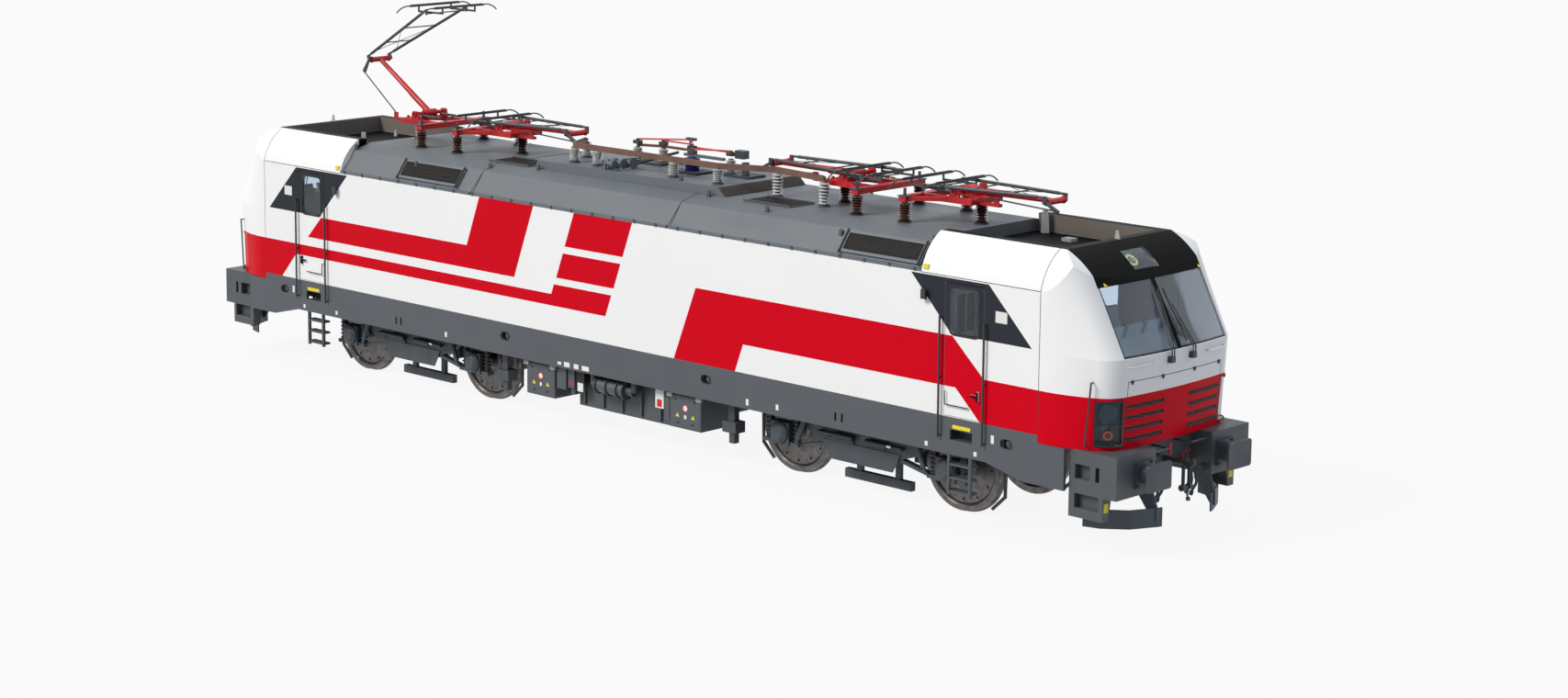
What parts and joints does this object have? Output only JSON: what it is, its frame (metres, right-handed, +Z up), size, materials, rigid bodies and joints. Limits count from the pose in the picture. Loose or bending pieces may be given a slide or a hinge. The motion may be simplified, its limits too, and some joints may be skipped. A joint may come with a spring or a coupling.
{
  "type": "electric locomotive",
  "caption": "Four-axle electric locomotive with a cab at each end, swinging cab doors, steering bogies, turning wheelsets and folding roof pantographs",
  "frame": {"origin": "midway between the buffer plates and the sides, level with the lowest points of the wheel flanges", "axes": "+X runs along the loco to the end seen in the picture, +Y to its left side, +Z up"},
  "size_m": [18.98, 3.156, 6.0211],
  "materials": {
    "frame_grey": "satin",
    "skirt_grey": "satin",
    "body_white": "gloss",
    "roof_grey": "matte",
    "nose_red": "gloss",
    "screen_glass": "gloss",
    "lamp_glass": "gloss",
    "cab_grey": "matte",
    "black_plastic": "matte",
    "white_plastic": "gloss",
    "buffer_steel": "satin",
    "draw_iron": "matte",
    "rail_grey": "satin",
    "brown_ceramic": "gloss",
    "pan_grey": "satin",
    "white_ceramic": "gloss",
    "bar_metal": "satin",
    "door_grey": "gloss",
    "wheel_steel": "satin",
    "pan_metal": "satin",
    "bogie_grey": "satin",
    "spring_steel": "satin"
  },
  "bodies": {
    "loco_body": {"underframe": "frame_grey", "skirts": "skirt_grey", "side_walls": "body_white", "middle_roof": "roof_grey", "roof_grilles": "roof_grey", "nose": "nose_red", "cab_roofs": "body_white", "windscreens": "screen_glass", "headlamps": "lamp_glass", "cab_inside": "cab_grey", "wipers": "black_plastic", "roof_fins": "white_plastic", "ladders": "frame_grey", "rail_guards": "frame_grey", "buffers": "buffer_steel", "draw_gear": "draw_iron", "handrails": "rail_grey", "transformer": "frame_grey", "equipment_boxes": "frame_grey", "pan_insulators": "brown_ceramic", "pan_bases": "pan_grey", "bus_insulators": "white_ceramic", "busbar": "bar_metal", "breaker": "pan_grey"},
    "bogie_1": {"bogie_frame_1": "bogie_grey", "bogie_axle_boxes_1": "bogie_grey", "bogie_suspension_1": "spring_steel", "bogie_motors_1": "draw_iron"},
    "bogie_2": {"bogie_frame_2": "bogie_grey", "bogie_axle_boxes_2": "bogie_grey", "bogie_suspension_2": "spring_steel", "bogie_motors_2": "draw_iron"},
    "wheels_1": {"wheelset_1": "wheel_steel"},
    "wheels_2": {"wheelset_2": "wheel_steel"},
    "wheels_3": {"wheelset_3": "wheel_steel"},
    "wheels_4": {"wheelset_4": "wheel_steel"},
    "cab_door_1": {"door_1": "door_grey", "door_glass_1": "screen_glass"},
    "cab_door_2": {"door_2": "door_grey", "door_glass_2": "screen_glass"},
    "cab_door_3": {"door_3": "door_grey", "door_glass_3": "screen_glass"},
    "cab_door_4": {"door_4": "door_grey", "door_glass_4": "screen_glass"},
    "pan_1_lower_arm": {"pan_lower_arm_1": "pan_grey"},
    "pan_1_upper_arm": {"pan_upper_arm_1": "pan_metal"},
    "pan_1_head": {"pan_head_1": "pan_metal"},
    "pan_1_rod": {"pan_rod_1": "pan_metal"},
    "pan_2_lower_arm": {"pan_lower_arm_2": "pan_grey"},
    "pan_2_upper_arm": {"pan_upper_arm_2": "pan_metal"},
    "pan_2_head": {"pan_head_2": "pan_metal"},
    "pan_2_rod": {"pan_rod_2": "pan_metal"},
    "pan_3_lower_arm": {"pan_lower_arm_3": "pan_grey"},
    "pan_3_upper_arm": {"pan_upper_arm_3": "pan_metal"},
    "pan_3_head": {"pan_head_3": "pan_metal"},
    "pan_3_rod": {"pan_rod_3": "pan_metal"},
    "pan_4_lower_arm": {"pan_lower_arm_4": "pan_grey"},
    "pan_4_upper_arm": {"pan_upper_arm_4": "pan_metal"},
    "pan_4_head": {"pan_head_4": "pan_metal"},
    "pan_4_rod": {"pan_rod_4": "pan_metal"}
  },
  "joints": [
    {"name": "bogie_1_yaw", "type": "hinge", "parent": "loco_body", "child": "bogie_1", "pos_m": [-4.75, 0, 0.77], "axis": [0, 0, 1], "range_deg": [-3.5, 3.5]},
    {"name": "bogie_2_yaw", "type": "hinge", "parent": "loco_body", "child": "bogie_2", "pos_m": [4.75, 0, 0.77], "axis": [0, 0, 1], "range_deg": [-3.5, 3.5]},
    {"name": "wheels_1_spin", "type": "hinge", "parent": "bogie_1", "child": "wheels_1", "pos_m": [-6.25, 0, 0.653], "axis": [0, 1, 0], "continuous": true},
    {"name": "wheels_2_spin", "type": "hinge", "parent": "bogie_1", "child": "wheels_2", "pos_m": [-3.25, 0, 0.653], "axis": [0, 1, 0], "continuous": true},
    {"name": "wheels_3_spin", "type": "hinge", "parent": "bogie_2", "child": "wheels_3", "pos_m": [3.25, 0, 0.653], "axis": [0, 1, 0], "continuous": true},
    {"name": "wheels_4_spin", "type": "hinge", "parent": "bogie_2", "child": "wheels_4", "pos_m": [6.25, 0, 0.653], "axis": [0, 1, 0], "continuous": true},
    {"name": "door_1_swing", "type": "hinge", "parent": "loco_body", "child": "cab_door_1", "pos_m": [6.48, -1.447, 1.5], "axis": [0, 0, 1], "range_deg": [0, 90]},
    {"name": "door_2_swing", "type": "hinge", "parent": "loco_body", "child": "cab_door_2", "pos_m": [6.48, 1.447, 1.5], "axis": [0, 0, -1], "range_deg": [0, 90]},
    {"name": "door_3_swing", "type": "hinge", "parent": "loco_body", "child": "cab_door_3", "pos_m": [-6.48, -1.447, 1.5], "axis": [0, 0, -1], "range_deg": [0, 90]},
    {"name": "door_4_swing", "type": "hinge", "parent": "loco_body", "child": "cab_door_4", "pos_m": [-6.48, 1.447, 1.5], "axis": [0, 0, 1], "range_deg": [0, 90]},
    {"name": "pan_1_lower_arm_hinge", "type": "hinge", "parent": "loco_body", "child": "pan_1_lower_arm", "pos_m": [-5.6, 0, 4.24], "axis": [0, 1, 0], "range_deg": [-32, 26]},
    {"name": "pan_1_upper_arm_hinge", "type": "hinge", "parent": "pan_1_lower_arm", "child": "pan_1_upper_arm", "pos_m": [-6.83815, 0, 5.01368], "axis": [0, 1, 0], "range_deg": [-48.62, 59.84]},
    {"name": "pan_1_head_hinge", "type": "hinge", "parent": "pan_1_upper_arm", "child": "pan_1_head", "pos_m": [-5.158, 0, 5.901], "axis": [0, 1, 0], "range_deg": [-27.84, 22.62]},
    {"name": "pan_1_rod_hinge", "type": "hinge", "parent": "loco_body", "child": "pan_1_rod", "pos_m": [-6.24, 0, 4.18], "axis": [0, 1, 0], "range_deg": [-39.68, 32.24]},
    {"name": "pan_2_lower_arm_hinge", "type": "hinge", "parent": "loco_body", "child": "pan_2_lower_arm", "pos_m": [-3.6, 0, 4.24], "axis": [0, -1, 0], "range_deg": [0, 58]},
    {"name": "pan_2_upper_arm_hinge", "type": "hinge", "parent": "pan_2_lower_arm", "child": "pan_2_upper_arm", "pos_m": [-2.14, 0, 4.24], "axis": [0, -1, 0], "range_deg": [-108.46, 0]},
    {"name": "pan_2_head_hinge", "type": "hinge", "parent": "pan_2_upper_arm", "child": "pan_2_head", "pos_m": [-4.04, 0, 4.24], "axis": [0, -1, 0], "range_deg": [0, 50.46]},
    {"name": "pan_2_rod_hinge", "type": "hinge", "parent": "loco_body", "child": "pan_2_rod", "pos_m": [-2.96, 0, 4.18], "axis": [0, -1, 0], "range_deg": [0, 71.92]},
    {"name": "pan_3_lower_arm_hinge", "type": "hinge", "parent": "loco_body", "child": "pan_3_lower_arm", "pos_m": [3.6, 0, 4.24], "axis": [0, 1, 0], "range_deg": [0, 58]},
    {"name": "pan_3_upper_arm_hinge", "type": "hinge", "parent": "pan_3_lower_arm", "child": "pan_3_upper_arm", "pos_m": [2.14, 0, 4.24], "axis": [0, 1, 0], "range_deg": [-108.46, 0]},
    {"name": "pan_3_head_hinge", "type": "hinge", "parent": "pan_3_upper_arm", "child": "pan_3_head", "pos_m": [4.04, 0, 4.24], "axis": [0, 1, 0], "range_deg": [0, 50.46]},
    {"name": "pan_3_rod_hinge", "type": "hinge", "parent": "loco_body", "child": "pan_3_rod", "pos_m": [2.96, 0, 4.18], "axis": [0, 1, 0], "range_deg": [0, 71.92]},
    {"name": "pan_4_lower_arm_hinge", "type": "hinge", "parent": "loco_body", "child": "pan_4_lower_arm", "pos_m": [5.6, 0, 4.24], "axis": [0, -1, 0], "range_deg": [0, 58]},
    {"name": "pan_4_upper_arm_hinge", "type": "hinge", "parent": "pan_4_lower_arm", "child": "pan_4_upper_arm", "pos_m": [7.06, 0, 4.24], "axis": [0, -1, 0], "range_deg": [-108.46, 0]},
    {"name": "pan_4_head_hinge", "type": "hinge", "parent": "pan_4_upper_arm", "child": "pan_4_head", "pos_m": [5.16, 0, 4.24], "axis": [0, -1, 0], "range_deg": [0, 50.46]},
    {"name": "pan_4_rod_hinge", "type": "hinge", "parent": "loco_body", "child": "pan_4_rod", "pos_m": [6.24, 0, 4.18], "axis": [0, -1, 0], "range_deg": [0, 71.92]}
  ],
  "couplings": [
    {"joint": "pan_1_upper_arm_hinge", "follows": "pan_1_lower_arm_hinge", "ratio": -1.87},
    {"joint": "pan_1_head_hinge", "follows": "pan_1_lower_arm_hinge", "ratio": 0.87},
    {"joint": "pan_1_rod_hinge", "follows": "pan_1_lower_arm_hinge", "ratio": 1.24},
    {"joint": "pan_2_upper_arm_hinge", "follows": "pan_2_lower_arm_hinge", "ratio": -1.87},
    {"joint": "pan_2_head_hinge", "follows": "pan_2_lower_arm_hinge", "ratio": 0.87},
    {"joint": "pan_2_rod_hinge", "follows": "pan_2_lower_arm_hinge", "ratio": 1.24},
    {"joint": "pan_3_upper_arm_hinge", "follows": "pan_3_lower_arm_hinge", "ratio": -1.87},
    {"joint": "pan_3_head_hinge", "follows": "pan_3_lower_arm_hinge", "ratio": 0.87},
    {"joint": "pan_3_rod_hinge", "follows": "pan_3_lower_arm_hinge", "ratio": 1.24},
    {"joint": "pan_4_upper_arm_hinge", "follows": "pan_4_lower_arm_hinge", "ratio": -1.87},
    {"joint": "pan_4_head_hinge", "follows": "pan_4_lower_arm_hinge", "ratio": 0.87},
    {"joint": "pan_4_rod_hinge", "follows": "pan_4_lower_arm_hinge", "ratio": 1.24}
  ]
}
